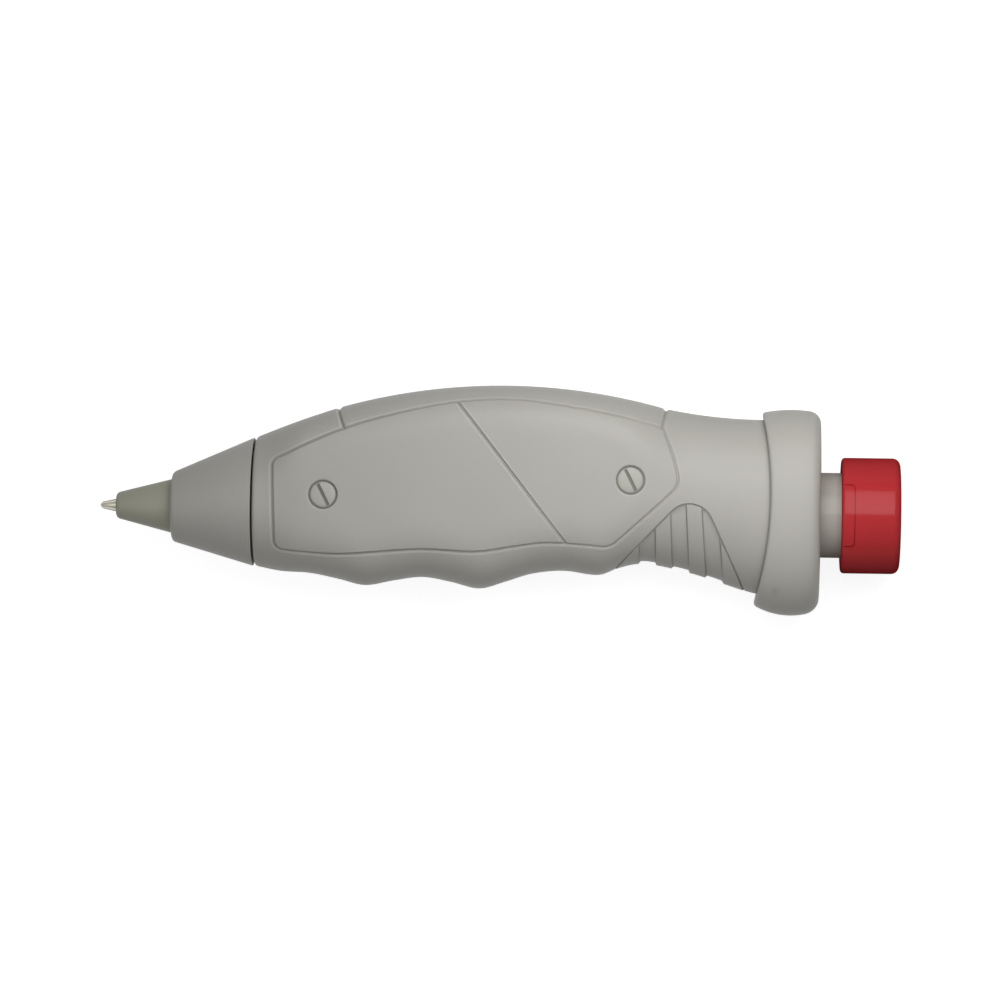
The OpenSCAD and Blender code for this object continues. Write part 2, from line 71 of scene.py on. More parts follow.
class Wire:
    """A shader socket that takes part in sums. Its node method adds any other node to the same material."""

    def __init__(self, tree, socket=None):
        self.tree = tree
        self.socket = socket

    def node(self, kind, settings=None, inputs=None, output=0):
        made = self.tree.nodes.new(kind)
        for name, value in (settings or {}).items():
            setattr(made, name, value)
        for name, value in (inputs or {}).items():
            if isinstance(value, Wire):
                self.tree.links.new(value.socket, made.inputs[name])
            else:
                made.inputs[name].default_value = value
        return Wire(self.tree, made.outputs[output] if len(made.outputs) else None)

    def maths(self, operation, first, second):
        return self.node("ShaderNodeMath", {"operation": operation}, {0: first, 1: second})

    def __add__(self, other):
        return self.maths("ADD", self, other)

    def __mul__(self, other):
        return self.maths("MULTIPLY", self, other)

    def __sub__(self, other):
        return self.maths("SUBTRACT", self, other)

    def __rsub__(self, other):
        return self.maths("SUBTRACT", other, self)

    __radd__ = __add__
    __rmul__ = __mul__

    def noise(self, place, scale, detail=2.0):
        return self.node("ShaderNodeTexNoise", None, {"Vector": place, "Scale": scale, "Detail": detail})

    def tint(self, mask, first, second):
        return self.node("ShaderNodeMix", {"data_type": "RGBA"}, {0: mask, 6: first, 7: second}, 2)


def new_finish(name):
    """A new material with no nodes, and the wire that its nodes are made with."""
    material = bpy.data.materials.new(name)
    material.use_nodes = True
    material.node_tree.nodes.clear()
    return material, Wire(material.node_tree)


def coat(wire, **sockets):
    """Ends a material with a Principled surface."""
    names = {name.replace("_", " ").title(): value for name, value in sockets.items()}
    surface = wire.node("ShaderNodeBsdfPrincipled", None, {n.replace("Ior", "IOR"): v for n, v in names.items()})
    wire.node("ShaderNodeOutputMaterial", None, {"Surface": surface})


def tone(red, green, blue):
    """A colour as the eye sees it, from 0 to 255, as the light it reflects."""
    parts = [c / 255 for c in (red, green, blue)]
    return (*[c / 12.92 if c < 0.04 else ((c + 0.055) / 1.055) ** 2.4 for c in parts], 1)


def scaled(colour, share):
    """A colour that reflects this share of another one's light."""
    return (*[share * c for c in colour[:3]], 1)


def turned_metal(name, colour, roughness):
    """Metal with the fine rings that a lathe leaves around the pen's axis. Its colour is painted darker where it turns
    away from the view, as a painted dark reflection on its sides.
    """
    material, wire = new_finish(name)
    place = wire.node("ShaderNodeTexCoord", output=3)
    along = wire.node("ShaderNodeMapping", None, {"Vector": place, "Scale": (6000, 300, 300)})
    rings = wire.noise(along, 1.0, 3.0)
    haze = wire.noise(place, 900.0)
    shade = wire.tint(haze, scaled(colour, 0.82), colour)
    dark_side_mask = wire.node("ShaderNodeLayerWeight", None, {"Blend": 0.5}, 1)
    # painted dark reflection: the colour falls to a tenth on the sides turned away from the view
    shade = wire.tint(1.7 * dark_side_mask - 0.45, shade, scaled(colour, 0.1))
    bump = wire.node("ShaderNodeBump", None, {"Strength": 0.25, "Distance": 0.01 * MM, "Height": rings})
    coat(wire, base_color=shade, metallic=1.0, roughness=roughness + 0.16 * rings, specular_tint=(0.1, 0.1, 0.1, 1),
         normal=bump)
    return material


def dress(piece, material):
    piece.data.materials.clear()
    piece.data.materials.append(material)


def close_up(fill=True):
    """Merges what meets on the active piece, fills its open ends and turns its faces outwards."""
    bpy.ops.object.mode_set(mode="EDIT")
    bpy.ops.mesh.select_all(action="SELECT")
    bpy.ops.mesh.remove_doubles(threshold=0.001 * MM)
    if fill:
        bpy.ops.mesh.fill_holes(sides=0)
        bpy.ops.mesh.select_all(action="SELECT")
    bpy.ops.mesh.normals_make_consistent(inside=False)
    bpy.ops.object.mode_set(mode="OBJECT")


def turned(name, outline, sides=96):
    """Makes a round piece from (x, radius) or (x, radius, lean) places in millimetres: each ring is drawn from the
    last, and lean is how far its middle lies above the refill's axis. An outline that isn't closed gets flat ends."""
    places = [(*p, 0.0)[:3] for p in outline]
    x, r, lean = places[0]
    bpy.ops.mesh.primitive_circle_add(vertices=sides, radius=r * MM, location=(x * MM, lean * MM, axis_z),
                                      rotation=(0, math.pi / 2, 0))
    piece = bpy.context.object
    piece.name = name
    bpy.ops.object.transform_apply()
    bpy.ops.object.mode_set(mode="EDIT")
    bpy.ops.mesh.select_mode(type="VERT")
    bpy.ops.mesh.select_all(action="SELECT")
    for to_x, to_r, to_lean in places[1:]:
        step = ((to_x - x) * MM, (to_lean - lean) * MM, 0)
        bpy.ops.mesh.extrude_region_move(TRANSFORM_OT_translate={"value": step})
        bpy.ops.transform.resize(value=(1, to_r / r, to_r / r), center_override=(to_x * MM, to_lean * MM, axis_z))
        x, r, lean = to_x, to_r, to_lean
    close_up()
    return piece


def round_rim(piece, x, r, size, segments, lean=0.0):
    """Rounds the rim of a turned piece at one place of its outline."""
    middle = Vector((x * MM, lean * MM, axis_z))
    bpy.ops.object.mode_set(mode="EDIT")
    bpy.ops.mesh.select_mode(type="EDGE")
    bpy.ops.mesh.select_all(action="DESELECT")
    net = bmesh.from_edit_mesh(piece.data)
    near = 0.004 * MM
    for edge in net.edges:
        on_rim = [abs(v.co.x - middle.x) < near and abs((v.co - middle).length - r * MM) < near for v in edge.verts]
        edge.select_set(all(on_rim))
    bmesh.update_edit_mesh(piece.data)
    bpy.ops.mesh.bevel(offset=size * MM, segments=segments, clamp_overlap=True)
    bpy.ops.object.mode_set(mode="OBJECT")


def pick(piece):
    """Makes a piece the active one, and the only one that is selected."""
    bpy.ops.object.select_all(action="DESELECT")
    piece.select_set(True)
    bpy.context.view_layer.objects.active = piece


def smooth(piece, degrees):
    pick(piece)
    bpy.ops.object.shade_smooth_by_angle(angle=math.radians(degrees))


def fit(piece, node, material, body="handle", degrees=38):
    """Finishes a piece and puts it in a CAD node's place on its body."""
    smooth(piece, degrees)
    dress(piece, material)
    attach(piece, body)
    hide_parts(node)


rolled_end = [(-75.8, 0.47), (-75.83, 0.55), (-75.68, 0.64)]
point_outline = [(point_mouth, point_bore_r), *rolled_end, (-73.85, 1.04), (point_shoulder, point_r),
                 (point_step, point_r), (point_step, point_stem_r), (point_rear, point_stem_r),
                 (point_rear, point_bore_r), (point_mouth, point_bore_r)]
refill_tip = turned("refill_point", point_outline, sides=64)
round_rim(refill_tip, point_shoulder, point_r, size=0.12, segments=3)
nickel_silver = turned_metal("nickel silver", tone(232, 229, 211), roughness=0.24)
fit(refill_tip, "refill_tip", nickel_silver, "refill", degrees=20)

dress(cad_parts["writing_ball"], turned_metal("polished steel", tone(205, 205, 208), roughness=0.08))

# Ink tube and ink
# A clear plastic tube with a moulded stop that the return spring pushes on. The ink fills it from the metal point
# to a grease plug near its rear end.
stop_front, stop_rear, tube_rear = -58.5, -57.7, 30.9
tube_r, stop_r = 1.6, 2.5


def clear_plastic(name, colour):
    """Milky clear plastic with faint flow marks along the tube."""
    material, wire = new_finish(name)
    place = wire.node("ShaderNodeTexCoord", output=3)
    along = wire.node("ShaderNodeMapping", None, {"Vector": place, "Scale": (120, 900, 900)})
    flow = wire.noise(along, 1.0)
    shade = wire.tint(flow, scaled(colour, 0.9), colour)
    coat(wire, base_color=shade, roughness=0.12 + 0.1 * flow, transmission_weight=0.55, ior=1.49)
    return material


def wet_ink(name, colour):
    """Dark ink that thins a little along its length."""
    material, wire = new_finish(name)
    place = wire.node("ShaderNodeTexCoord", output=3)
    cloud = wire.noise(place, 160.0)
    shade = wire.tint(cloud, colour, scaled(colour, 1.6))
    coat(wire, base_color=shade, roughness=0.08 + 0.08 * cloud)
    return material


tube_outline = [(point_step, point_stem_r), (point_step, tube_r), (stop_front, tube_r), (stop_front, stop_r),
                (stop_rear, stop_r), (stop_rear, tube_r), (tube_rear, tube_r), (tube_rear, point_stem_r),
                (point_step, point_stem_r)]
ink_tube = turned("ink_tube_wall", tube_outline, sides=48)
for stop_end in (stop_front, stop_rear):
    round_rim(ink_tube, stop_end, stop_r, size=0.1, segments=2)
fit(ink_tube, "ink_tube", clear_plastic("clear tube", tone(222, 226, 232)), "refill", degrees=35)
dress(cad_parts["ink_column"], wet_ink("blue-black ink", (0.01, 0.013, 0.05, 1)))

# Return spring
# Eight turns of drawn steel wire between the nose tip's seat and the stop on the ink tube. It shortens when
# the button is pushed right in and lengthens when the point goes back.
spring_front, spring_rear = -69.6, -58.75
coil_r, wire_r, spring_turns = 2.15, 0.2, 8


def drawn_wire(name, colour):
    """Steel wire with the faint lengthwise dulling of drawing."""
    material, wire = new_finish(name)
    place = wire.node("ShaderNodeTexCoord", output=3)
    dull = wire.noise(place, 1500.0, 3.0)
    shade = wire.tint(dull, scaled(colour, 0.75), colour)
    coat(wire, base_color=shade, metallic=1.0, roughness=0.22 + 0.2 * dull)
    return material


bpy.ops.mesh.primitive_circle_add(vertices=10, radius=wire_r * MM, location=(spring_front * MM, 0, coil_r * MM),
                                  rotation=(math.pi / 2, 0, 0))
spring = bpy.context.object
spring.name = "spring_wire"
bpy.ops.object.transform_apply()
bpy.ops.object.modifier_add(type="SCREW")
turns = spring.modifiers[-1]
turns.axis = "X"
turns.steps = turns.render_steps = 28
turns.iterations = spring_turns
turns.screw_offset = (spring_rear - spring_front) / spring_turns * MM
turns.use_normal_calculate = True
bpy.ops.object.modifier_apply(modifier=turns.name)
close_up()
spring.location.z = axis_z
bpy.ops.object.transform_apply()
smooth(spring, 50)
dress(spring, drawn_wire("spring wire", tone(190, 190, 194)))
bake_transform(spring)
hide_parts("return_spring")

# Nose tip
# A satin cone of a darker, greener grey than the rest, moulded with a rounded front edge and a chamber for the
# spring. Its rear spigot is pressed into the nose cone.
tip_front, chamber_front, nose_front, tip_end, nose_rear = -73.1, -69.9, -62.4, -57.4, -46.85
tip_front_r, tip_rear_r = 2.4, 5.15
point_hole_r, chamber_r, tip_spigot_r = 1.22, 2.75, 4.2


def satin_plastic(name, colour, seamed=False):
    """Moulded plastic with a fine spark-eroded grain. On a seamed piece, painted shade darkens the seams and painted
    highlights light their shoulders a little."""
    material, wire = new_finish(name)
    place = wire.node("ShaderNodeTexCoord", output=3)
    grain = wire.noise(place, 3200.0, 3.0)
    cloud = wire.noise(place, 60.0, 3.0)
    shade = wire.tint(cloud, scaled(colour, 0.955), scaled(colour, 1.045))
    if seamed:
        painted_light_and_marks = wire.node("ShaderNodeAttribute", {"attribute_name": "seam"}, output=2)
        # painted shade: the attribute's positive share darkens the colour towards a dark grey in grooves, lines and
        # slots
        shade = wire.tint(0.36 * painted_light_and_marks.maths("MAXIMUM", painted_light_and_marks, 0.0), shade, tone(70, 69, 62))
        # painted highlight: its negative share lightens the colour on the grooves' shoulders
        shade = wire.tint(0.34 * painted_light_and_marks.maths("MAXIMUM", 0.0 - painted_light_and_marks, 0.0), shade, tone(226, 224, 217))
    bump = wire.node("ShaderNodeBump", None, {"Strength": 0.22, "Distance": 0.02 * MM, "Height": grain})
    coat(wire, base_color=shade, roughness=0.4 + 0.1 * cloud + 0.08 * grain, normal=bump)
    return material


tip_outline = [(tip_front, point_hole_r), (tip_front, tip_front_r), (nose_front, tip_rear_r),
               (nose_front, tip_spigot_r), (tip_end, tip_spigot_r), (tip_end, chamber_r),
               (chamber_front, chamber_r), (chamber_front, point_hole_r), (tip_front, point_hole_r)]
nose_tip = turned("nose_tip_cone", tip_outline)
round_rim(nose_tip, tip_front, tip_front_r, size=0.75, segments=6)
round_rim(nose_tip, tip_front, point_hole_r, size=0.12, segments=2)
round_rim(nose_tip, nose_front, tip_rear_r, size=0.15, segments=2)
fit(nose_tip, "nose_tip", satin_plastic("tip satin", tone(165, 165, 149)), "nose", degrees=35)

# Nose cone
# A cone of satin grey plastic that leans up to meet the grip's higher front face. It slides over the spigot of
# the grip's shells and pulls off to change the refill.
apex_x, apex_y = -80.37, -1.48
upper_slope, lower_slope = 0.4395, -0.289
spigot_front, bore_front, nose_bore_r = -54.0, -55.0, 7.2


def nose_ring(x):
    """Place, radius and lean of the leaning cone's ring at x."""
    run = x - apex_x
    return x, run * (upper_slope - lower_slope) / 2, apex_y + run * (upper_slope + lower_slope) / 2


cone_outline = [(nose_rear, nose_bore_r), nose_ring(nose_rear), nose_ring(nose_front), (nose_front, tip_spigot_r),
                (bore_front, tip_spigot_r), (bore_front, nose_bore_r), (nose_rear, nose_bore_r)]
nose_cone = turned("nose_cone_shell", cone_outline, sides=128)
for rim_x, size, segments in ((nose_front, 0.75, 6), (nose_rear, 0.22, 3)):
    _, rim_r, rim_lean = nose_ring(rim_x)
    round_rim(nose_cone, rim_x, rim_r, size, segments, rim_lean)
fit(nose_cone, "nose_cone", satin_plastic("nose satin", tone(178, 176, 170)), "nose", degrees=35)

# Grip shells
# Two halves moulded in satin grey plastic, parted on the pen's middle plane, with a round spigot in front for the
# nose. Square grooves run round the panels and the spine cover that are let into them, and a fine line round the ribbed
# insert. Painted shade darkens the grooves, the lines and a band in front of the collar, and painted highlights light
# the grooves' shoulders; both fade towards the rear.
grip_front, grip_end = -46.5, 53.0
half_width, front_half, waist_half = 13.0, 12.0, 11.0
front_top, ramp_crown = 13.3, 0.2
spine_front, spine_rear, front_slant, rear_slant = -30.7, 31.2, 1.5, -0.7
spine_x, spine_top, spine_r = 1.3, 23.76, 113.8
waist_x, waist_top = 49.5, 17.94
top_cap, low_cap, cap_gap, level_y = 9.0, 12.0, 0.4, 3.0
front_run, flat_end, waist_start, waist_run = 10, 20, 22, 16
round_power, flat_power, section_steps = 2.1, 0.6, 90
underside = [(-46.6, -11.1), (-41.5, -12.05), (-36, -12.35), (-30.3, -13.45), (-25.4, -14.52), (-20, -13.55),
             (-14.5, -12.82), (-9, -13.7), (-3.7, -14.85), (1, -13.55), (6.2, -11.9), (12.2, -11.25),
             (18.9, -11.95), (22.2, -10.75), (25.5, -9.85), (28.5, -9.75), (37, -11.55), (47, -14.65), (56, -16.6)]
panel_front, panel_toe, panel_corner, heel_corner = -42.8, -42.2, 1.8, 3.5
panel_upper = [(-42.5, 9.15), (-30, 14.85), (-18.75, 18.25), (-7.7, 20.45), (1.85, 21.05), (9.4, 20.35),
               (20.5, 18.5), (30.7, 16.05)]
panel_lower = [(-42.5, -7.75), (-36.85, -8.35), (-29.7, -8.65), (-14.7, -7.55), (-4.25, -7.85), (2.4, -6.9),
               (8.4, -6.05), (15.35, -6.25), (21.05, -6.75)]
panel_heel = [(30.7, 16.05), (32.8, 10.65), (34.1, 5.2)]
split_x, split_angle = 8.05, math.radians(-52)
insert_corners, insert_round = [(37.2, 5.1), (51.4, -25), (8.4, -25)], 4.5
screw_places, bore_r = [(-33, 2.6), (24.8, 6.1)], 2.78
rib_start, rib_pitch, rib_slant, rib_fan = 26.6, 3.12, math.radians(0.7), math.radians(0.9)
rib_edges, rib_deep, rib_ramp, rib_fade = 6, 0.5, 0.24, 0.3
groove_deep, groove_flat, groove_half = 0.29, 0.12, 0.33
notch_deep, notch_half = 0.5, 0.7
line_deep, line_flat, line_half = 0.3, 0.05, 0.2
lip_deep, lip_half, parting_deep, parting_half = 0.12, 0.26, 0.1, 0.25
front_round, spigot_r, skin = 0.7, 7.15, 1.55
collar_front, collar_front_y, collar_front_r = 51.05, 3.5, 75.0
fade_start, fade_run, fade_most = -20, 60, 0.75
line_shade, rib_shade, collar_shade = 0.17, 0.2, 0.34
sheen_place, sheen_half, lip_sheen, panel_sheen = 0.5, 0.2, 0.3, 0.25
upper_steps, lower_steps, tile, line_clear = 32, 28, 0.9, 0.85


def arc_drop(r, d):
    return r - np.sqrt(r * r - d * d)


def ease(t):
    t = np.clip(t, 0, 1)
    return t * t * (3 - 2 * t)


def fade(gap, reach):
    """Falls from 1 on a line to 0 at its reach."""
    return np.clip(1 - gap / reach, 0, 1)


def curve(points, x):
    """Height at x of a smooth curve through the points."""
    px, py = np.array(points, float).T
    first, last = np.r_[0, np.arange(len(px) - 1)], np.r_[np.arange(1, len(px)), len(px) - 1]
    slope = (py[last] - py[first]) / (px[last] - px[first])
    i = np.clip(np.searchsorted(px, x) - 1, 0, len(px) - 2)
    run = px[i + 1] - px[i]
    t = (x - px[i]) / run
    rest = 1 - t
    return (rest * rest * (1 + 2 * t) * py[i] + t * t * (3 - 2 * t) * py[i + 1]
            + run * t * rest * (rest * slope[i] - t * slope[i + 1]))


def top_y(x):
    """Height of the grip's spine side at x."""
    t = (x - grip_front) / (spine_front - grip_front)
    ramp_end = spine_top - arc_drop(spine_r, spine_front - spine_x)
    ramp = front_top + (ramp_end - front_top) * t + 4 * ramp_crown * t * (1 - t)
    arch = spine_top - arc_drop(spine_r, np.clip(x, spine_front, spine_rear) - spine_x)
    rise = spine_top - arc_drop(spine_r, spine_rear - spine_x) - waist_top
    waist_r = ((waist_x - spine_rear) ** 2 + rise * rise) / (2 * rise)
    waist = waist_top + arc_drop(waist_r, np.clip(x - waist_x, spine_rear - waist_x, 0))
    return np.where(x < spine_front, ramp, np.where(x < spine_rear, arch, waist))


def side_z(x):
    """Depth of the flat side at x, from the middle plane."""
    return (half_width - (half_width - front_half) * (1 - ease((x - grip_front) / front_run))
            - (half_width - waist_half) * ease((x - waist_start) / waist_run))


def half_sections(x):
    """Heights, depths and run of the left half of the section at each x, from the spine round to the fingers. The
    run starts at one level on the flat side, so that the side keeps its shape when x and run are drawn square."""
    x = np.asarray(x, float)[:, None]
    flat = ease((x - grip_front) / front_run) * (1 - ease((x - flat_end) / waist_run))
    top, low = top_y(x), curve(underside, x)
    half_tall = (top - low) / 2 - cap_gap
    power = 2 / (round_power + flat_power * flat)
    turn = np.linspace(0, np.pi / 2, section_steps)[None, :]
    fall = 1 - np.clip(np.cos(turn), 0, 1) ** power
    out = side_z(x) * np.sin(turn) ** power
    upper = top - (half_tall + (top_cap - half_tall) * flat) * fall
    lower = low + (half_tall + (low_cap - half_tall) * flat) * fall
    y, z = np.hstack([upper, lower[:, ::-1]]), np.hstack([out, out[:, ::-1]])
    run = np.hstack([np.zeros_like(x), np.cumsum(np.hypot(np.diff(y), np.diff(z)), axis=1)])
    return y, z, run - run_at(y, run, np.full(len(x), level_y))[:, None]


def run_at(y, run, height):
    """Run of the place at a height on each section."""
    row = np.arange(len(y))
    i = np.clip((y >= height[:, None]).sum(1) - 1, 0, y.shape[1] - 2)
    share = np.clip((y[row, i] - height) / (y[row, i] - y[row, i + 1]), 0, 1)
    return run[row, i] + share * (run[row, i + 1] - run[row, i])


def skin_place(x, s):
    """Height, depth and outward direction on the grip's skin at x and a run of s."""
    y, z, run = half_sections(x)
    row = np.arange(len(x))
    i = np.clip((run <= s[:, None]).sum(1) - 1, 0, run.shape[1] - 2)
    j = i + 1
    length = run[row, j] - run[row, i]
    step_y, step_z = (y[row, j] - y[row, i]) / length, (z[row, j] - z[row, i]) / length
    ahead = s - run[row, i]
    return y[row, i] + step_y * ahead, z[row, i] + step_z * ahead, step_z, -step_y


def lay_on(outline):
    """Lays a side view outline of (x, y) places on the skin, as (x, s) places. It runs on past the skin's edges."""
    x, height = np.array(outline, float).T
    y, _, run = half_sections(x)
    past_top, past_low = np.maximum(0, height - y[:, 0]), np.maximum(0, y[:, -1] - height)
    return np.column_stack([x, run_at(y, run, height) - past_top + past_low])


def round_corners(outline, radii):
    """Puts an arc in place of each point of a closed outline that is given a radius."""
    points = [Vector(p) for p in outline]
    rounded = []
    for i, (corner, radius) in enumerate(zip(points, radii)):
        if not radius:
            rounded.append(corner)
            continue
        back, ahead = (points[i - 1] - corner).normalized(), (points[(i + 1) % len(points)] - corner).normalized()
        half = back.angle(ahead) / 2
        middle = corner + (back + ahead).normalized() * radius / math.sin(half)
        start, end = [corner + way * radius / math.tan(half) - middle for way in (back, ahead)]
        rounded += [middle + start.slerp(end, k / 10).normalized() * radius for k in range(11)]
    return rounded


def spread(outline, gap):
    """Places along a line at even gaps, its ends and its sharp corners kept."""
    line = [np.array(p, float) for p in outline]
    places = []
    for a, b in zip(line, line[1:]):
        count = max(1, round(np.linalg.norm(b - a) / gap))
        places += [a + (b - a) * k / count for k in range(count)]
    return np.array(places + [line[-1]])


def inside(outline, places):
    """Which places lie inside a closed outline."""
    result = np.zeros(len(places), bool)
    x, s = places[:, 0], places[:, 1]
    for (ax, ay), (bx, by) in zip(outline, np.roll(outline, -1, axis=0)):
        crosses = (ay > s) != (by > s)
        result ^= crosses & (x < ax + (s - ay) * (bx - ax) / np.where(by == ay, 1, by - ay))
    return result


def distance(places, lines):
    """Distance from each place to the nearest of the lines."""
    starts = np.vstack([line[:-1] for line in lines])
    steps = np.vstack([line[1:] - line[:-1] for line in lines])
    lengths = (steps ** 2).sum(1) + 1e-12
    nearest = np.empty(len(places))
    for first in range(0, len(places), 2000):
        gap = places[first:first + 2000, None] - starts
        share = np.clip((gap * steps).sum(2) / lengths, 0, 1)
        nearest[first:first + 2000] = np.sqrt(((gap - share[..., None] * steps) ** 2).sum(2)).min(1)
    return nearest


upper_x = np.linspace(panel_front, panel_heel[0][0], upper_steps)
lower_x = np.linspace(panel_lower[-1][0], panel_toe, lower_steps)
panel_view = [*zip(upper_x, curve(panel_upper, upper_x)), *panel_heel[1:], *zip(lower_x, curve(panel_lower, lower_x))]
panel_radii = [panel_corner, *[0] * upper_steps, heel_corner, heel_corner, *[0] * (lower_steps - 2), panel_corner]
panel_edge = lay_on(round_corners(panel_view, panel_radii))
panel_edge = spread(np.vstack([panel_edge, panel_edge[:1]]), 0.5)

split_run = np.arange(-45, 30, 0.25)
split_cut = lay_on(np.column_stack([split_x + math.cos(split_angle) * split_run, math.sin(split_angle) * split_run]))
split_line = split_cut[inside(panel_edge, split_cut)]
far_behind = 70
split_cut = np.vstack([split_cut, [[far_behind, split_cut[-1, 1]], [far_behind, split_cut[0, 1]]]])


def spine_end(x, slant):
    """The slanting end of the spine cover, from the panel's edge up to its crest and well past it."""
    foot_y = curve(panel_upper, x + slant)
    crest = half_sections([x])[2][0, 0]
    s = np.linspace(lay_on([(x + slant, foot_y)])[0, 1], crest, 24)
    y = skin_place(np.full(len(s), x), s)[0]
    line = np.column_stack([x + slant * (top_y(x) - y) / (top_y(x) - foot_y), s])
    return np.vstack([line, [line[-1, 0], crest - 12]])


front_end, rear_end = spine_end(spine_front, front_slant), spine_end(spine_rear, rear_slant)
spine_low = panel_edge[(panel_edge[:, 0] > front_end[0, 0]) & (panel_edge[:, 0] < rear_end[0, 0] - 0.3)
                       & (panel_edge[:, 1] < -8)]
spine_edge = np.vstack([front_end[::-1], spine_low[np.argsort(spine_low[:, 0])], rear_end])

insert_view = round_corners(insert_corners, [insert_round] * 3)
insert_edge = spread(lay_on(spread(np.array([*insert_view, insert_view[0]]), 0.5)), 0.4)
bore_turn = np.linspace(0, math.tau, 49)
bore_rim = bore_r * np.column_stack([np.cos(bore_turn), np.sin(bore_turn)])
bores = [lay_on(where + bore_rim) for where in screw_places]


def rib_x(i, y):
    """X of a place on the rib edge i at height y. The edges fan out towards the rear."""
    return rib_start + rib_pitch * i - math.tan(rib_slant + rib_fan * i) * (y + 10)


rib_y = np.linspace(6, -15, 70)
rib_lines = [spread(lay_on(np.column_stack([rib_x(i, rib_y), rib_y])), 0.4) for i in range(rib_edges)]
rib_lines = [line[inside(insert_edge, line)] for line in rib_lines]
collar_y = np.linspace(20, -16.8, 80)
collar_bow = collar_front - arc_drop(collar_front_r, collar_y - collar_front_y)
collar_line = spread(lay_on(np.column_stack([collar_bow, collar_y])), 0.4)

rows = np.unique(np.r_[grip_front + front_round * np.array([0, 0.04, 0.14, 0.3, 0.5, 0.75, 1]),
                       np.arange(grip_front + 2 * front_round, grip_end, tile), grip_end])
row_run = half_sections(rows)[2]
crest_run, last_run = row_run[:, 0], row_run[:, -1]
rear_run = np.linspace(crest_run[-1], last_run[-1], 62)[1:-1]
front_edge_run = np.linspace(last_run[0], crest_run[0], 82)[1:-1]
rear_edge = np.column_stack([np.full(len(rear_run), grip_end), rear_run])
front_edge = np.column_stack([np.full(len(front_edge_run), grip_front), front_edge_run])
skin_edge = np.vstack([np.column_stack([rows, crest_run]), rear_edge, np.column_stack([rows, last_run])[::-1],
                       front_edge, [[rows[0], crest_run[0]]]])

grooves = [panel_edge, split_line, front_end[:-1], rear_end[:-1]]
lines = grooves + [insert_edge] + bores + rib_lines + [collar_line]
# How far from each line more places follow it, on both sides
near_gaps = [(0.1, 0.19, 0.28, 0.38, 0.52, 0.7)] * 4 + [(0.07, 0.14, 0.21, 0.4)] + [(0.12, 0.26, 0.45)] * 2
near_gaps += [(0.06, 0.13, 0.22)] * rib_edges + [(0.15, 0.32)]
places = [skin_edge[:-1], *lines]
for line, gaps in zip(lines, near_gaps):
    way = np.gradient(line, axis=0)
    across = np.column_stack([-way[:, 1], way[:, 0]]) / np.linalg.norm(way, axis=1)[:, None]
    for gap in gaps:
        for side in (-gap, gap):
            ring = line + across * side
            places.append(ring[distance(ring, lines) > 0.9 * gap])
for x, crest, last in zip(rows, crest_run, last_run):
    count = max(8, round((last - crest) / tile))
    steps = (np.arange(1, count) + 0.5 * (round(x / tile) % 2)) / (count + 0.5)
    across = np.r_[crest + np.array([0.12, 0.28, 0.6]), crest + (last - crest) * steps,
                   last - np.array([0.6, 0.28, 0.12])]
    row = np.column_stack([np.full(len(across), x), across])
    places.append(row[distance(row, lines) > line_clear])
edges, first = [], 0
for line in places[:1 + len(lines)]:
    edges += [(first + i, first + i + 1) for i in range(len(line) - 1)]
    first += len(line)
edges.append((len(places[0]) - 1, 0))
tiling = delaunay_2d_cdt([Vector(p) for p in np.vstack(places)], edges, [], 0, 1e-4, False)
skin_xs = np.array([tuple(v) for v in tiling[0]])
triangles = np.array([f for f in tiling[2] if len(f) == 3])
middles = skin_xs[triangles].mean(1)
on_skin, in_panel, in_insert = [inside(line, middles) for line in (skin_edge, panel_edge, insert_edge)]
in_spine = inside(spine_edge, middles) & ~in_panel
in_bore = inside(bores[0], middles) | inside(bores[1], middles)
behind = inside(split_cut, middles)

skin_run = half_sections(skin_xs[:, 0])[2]
skin_start, skin_last = skin_run[:, 0], skin_run[:, -1]
to_parting = np.minimum(skin_xs[:, 1] - skin_start, skin_last - skin_xs[:, 1])
skin_y, skin_z, out_y, out_z = skin_place(skin_xs[:, 0], np.clip(skin_xs[:, 1], skin_start, skin_last))
of_insert = inside(insert_edge, skin_xs)
to_groove, to_line, to_bore = [distance(skin_xs, near) for near in (grooves, [insert_edge], bores)]
to_notch, to_rib = distance(skin_xs, [front_end, rear_end]), distance(skin_xs, rib_lines)
deep = groove_deep * (1 - ease((to_groove - groove_flat) / (groove_half - groove_flat)))
deep = np.maximum(deep, notch_deep * fade(to_notch, notch_half) ** 1.4)
deep = np.maximum(deep, line_deep * (1 - ease((to_line - line_flat) / (line_half - line_flat))))
deep = np.maximum(deep, lip_deep * fade(to_bore, lip_half) ** 2)
one_piece = of_insert | inside(spine_edge, skin_xs)
deep = np.maximum(deep, np.where(one_piece, 0, parting_deep * fade(to_parting, parting_half)))
rib = sum((-1) ** i * ease((skin_xs[:, 0] - rib_x(i, skin_y)) / rib_ramp + 0.5) for i in range(rib_edges))
deep += np.where(of_insert, rib_deep * rib * ease(to_line / rib_fade), 0)
deep += arc_drop(front_round, front_round - np.clip(skin_xs[:, 0] - grip_front, 0, front_round))
skin_points = np.column_stack([skin_xs[:, 0], skin_y - out_y * deep, np.maximum(0, skin_z - out_z * deep)])
on_parting = to_parting < 1e-3
skin_points[on_parting, 2] = 0
on_skin &= ~on_parting[triangles].all(1)

# the painted shade and highlights at the seams fade from x = -20 towards the rear
rear_fade = 1 - fade_most * ease((skin_xs[:, 0] - fade_start) / fade_run)
